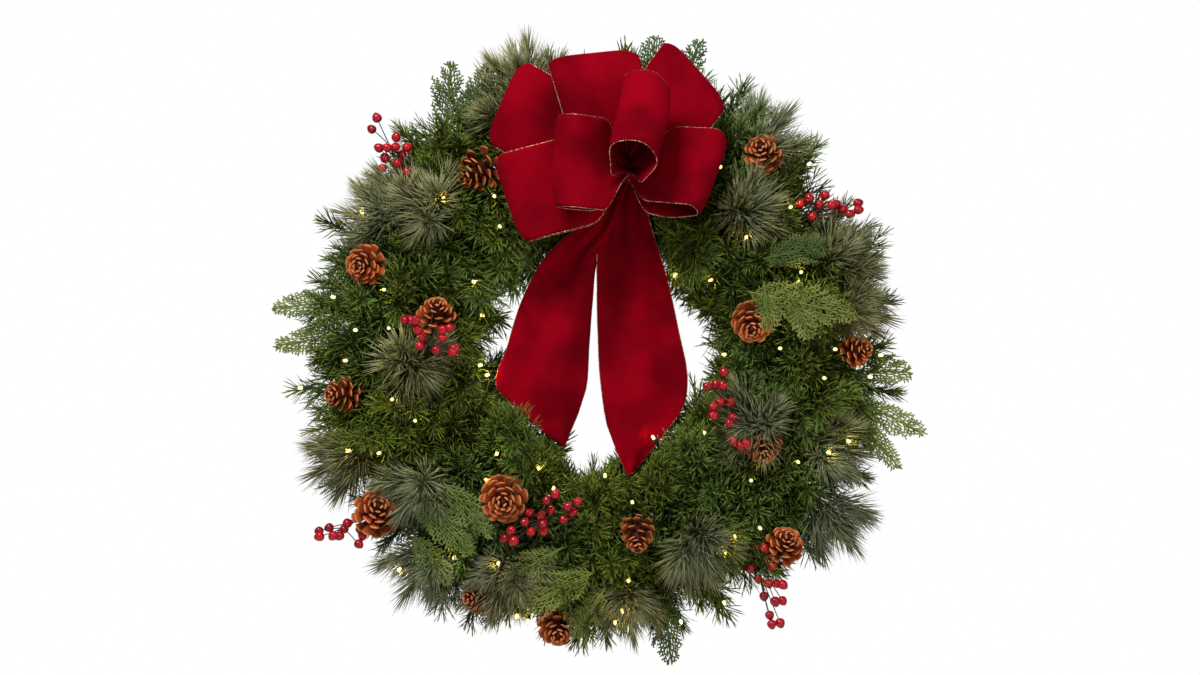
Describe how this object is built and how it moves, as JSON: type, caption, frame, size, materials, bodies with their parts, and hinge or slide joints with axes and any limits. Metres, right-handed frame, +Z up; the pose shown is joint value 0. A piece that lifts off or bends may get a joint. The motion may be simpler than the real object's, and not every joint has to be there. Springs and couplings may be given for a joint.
{
  "type": "evergreen wreath",
  "caption": "Round evergreen wreath on a wire ring frame, with pine cones, red berry sprays, a string of warm lamps and a red velvet bow with long tails, for hanging on a wall or door.",
  "frame": {"origin": "the underside of the frame's outer ring wire at its top, where a hook carries the hanging wreath", "axes": "+Z up, -Y to the front, where the bow and the lamps face, +Y to the wall, +X to the viewer's right"},
  "size_m": [0.7665, 0.2338, 0.7375],
  "materials": {
    "frame_wire": "green enamel on round steel wire, satin",
    "fir_needles": "short flat needles, dark green at the base and fresher green at the tips, low gloss",
    "pine_needles": "long slender needles, grey green with pale tan tips, matte",
    "cedar_leaflets": "flat scaly leaflets, olive to blue green, matte",
    "cone_scales": "dry woody scales, orange brown with pale tan rims",
    "berries": "glossy red lacquer, on thin dark stems",
    "lights": "green insulated wire with small clear lamps that glow warm white",
    "velvet": "deep red velvet ribbon with a fine gold wired edge",
    "tie_wire": "dull twisted florist's wire"
  },
  "bodies": {
    "root": {"wire_frame": "frame_wire", "fir_greens_01": "fir_needles", "fir_greens_02": "fir_needles", "fir_greens_03": "fir_needles", "fir_greens_04": "fir_needles", "fir_greens_05": "fir_needles", "fir_greens_06": "fir_needles", "fir_greens_07": "fir_needles", "fir_greens_08": "fir_needles", "fir_greens_09": "fir_needles", "fir_greens_10": "fir_needles", "pine_spray_01": "pine_needles", "pine_spray_02": "pine_needles", "pine_spray_03": "pine_needles", "pine_spray_04": "pine_needles", "pine_spray_05": "pine_needles", "pine_spray_06": "pine_needles", "pine_spray_07": "pine_needles", "pine_spray_08": "pine_needles", "pine_spray_09": "pine_needles", "pine_spray_10": "pine_needles", "pine_spray_11": "pine_needles", "pine_spray_12": "pine_needles", "pine_spray_13": "pine_needles", "pine_spray_14": "pine_needles", "pine_spray_15": "pine_needles", "cedar_frond_01": "cedar_leaflets", "cedar_frond_02": "cedar_leaflets", "cedar_frond_03": "cedar_leaflets", "cedar_frond_04": "cedar_leaflets", "cedar_frond_05": "cedar_leaflets", "cedar_frond_06": "cedar_leaflets", "cedar_frond_07": "cedar_leaflets", "cedar_frond_08": "cedar_leaflets", "cedar_frond_09": "cedar_leaflets", "pine_cone_01": "cone_scales", "pine_cone_02": "cone_scales", "pine_cone_03": "cone_scales", "pine_cone_04": "cone_scales", "pine_cone_05": "cone_scales", "pine_cone_06": "cone_scales", "pine_cone_07": "cone_scales", "pine_cone_08": "cone_scales", "pine_cone_09": "cone_scales", "pine_cone_10": "cone_scales", "pine_cone_11": "cone_scales", "pine_cone_12": "cone_scales", "pine_cone_13": "cone_scales", "pine_cone_14": "cone_scales", "berry_spray_01": "berries", "berry_spray_02": "berries", "berry_spray_03": "berries", "berry_spray_04": "berries", "berry_spray_05": "berries", "berry_spray_06": "berries", "berry_spray_07": "berries", "light_string": "lights", "bow_loops": "velvet", "bow_tails": "velvet", "bow_tie": "tie_wire"}
  },
  "joints": []
}
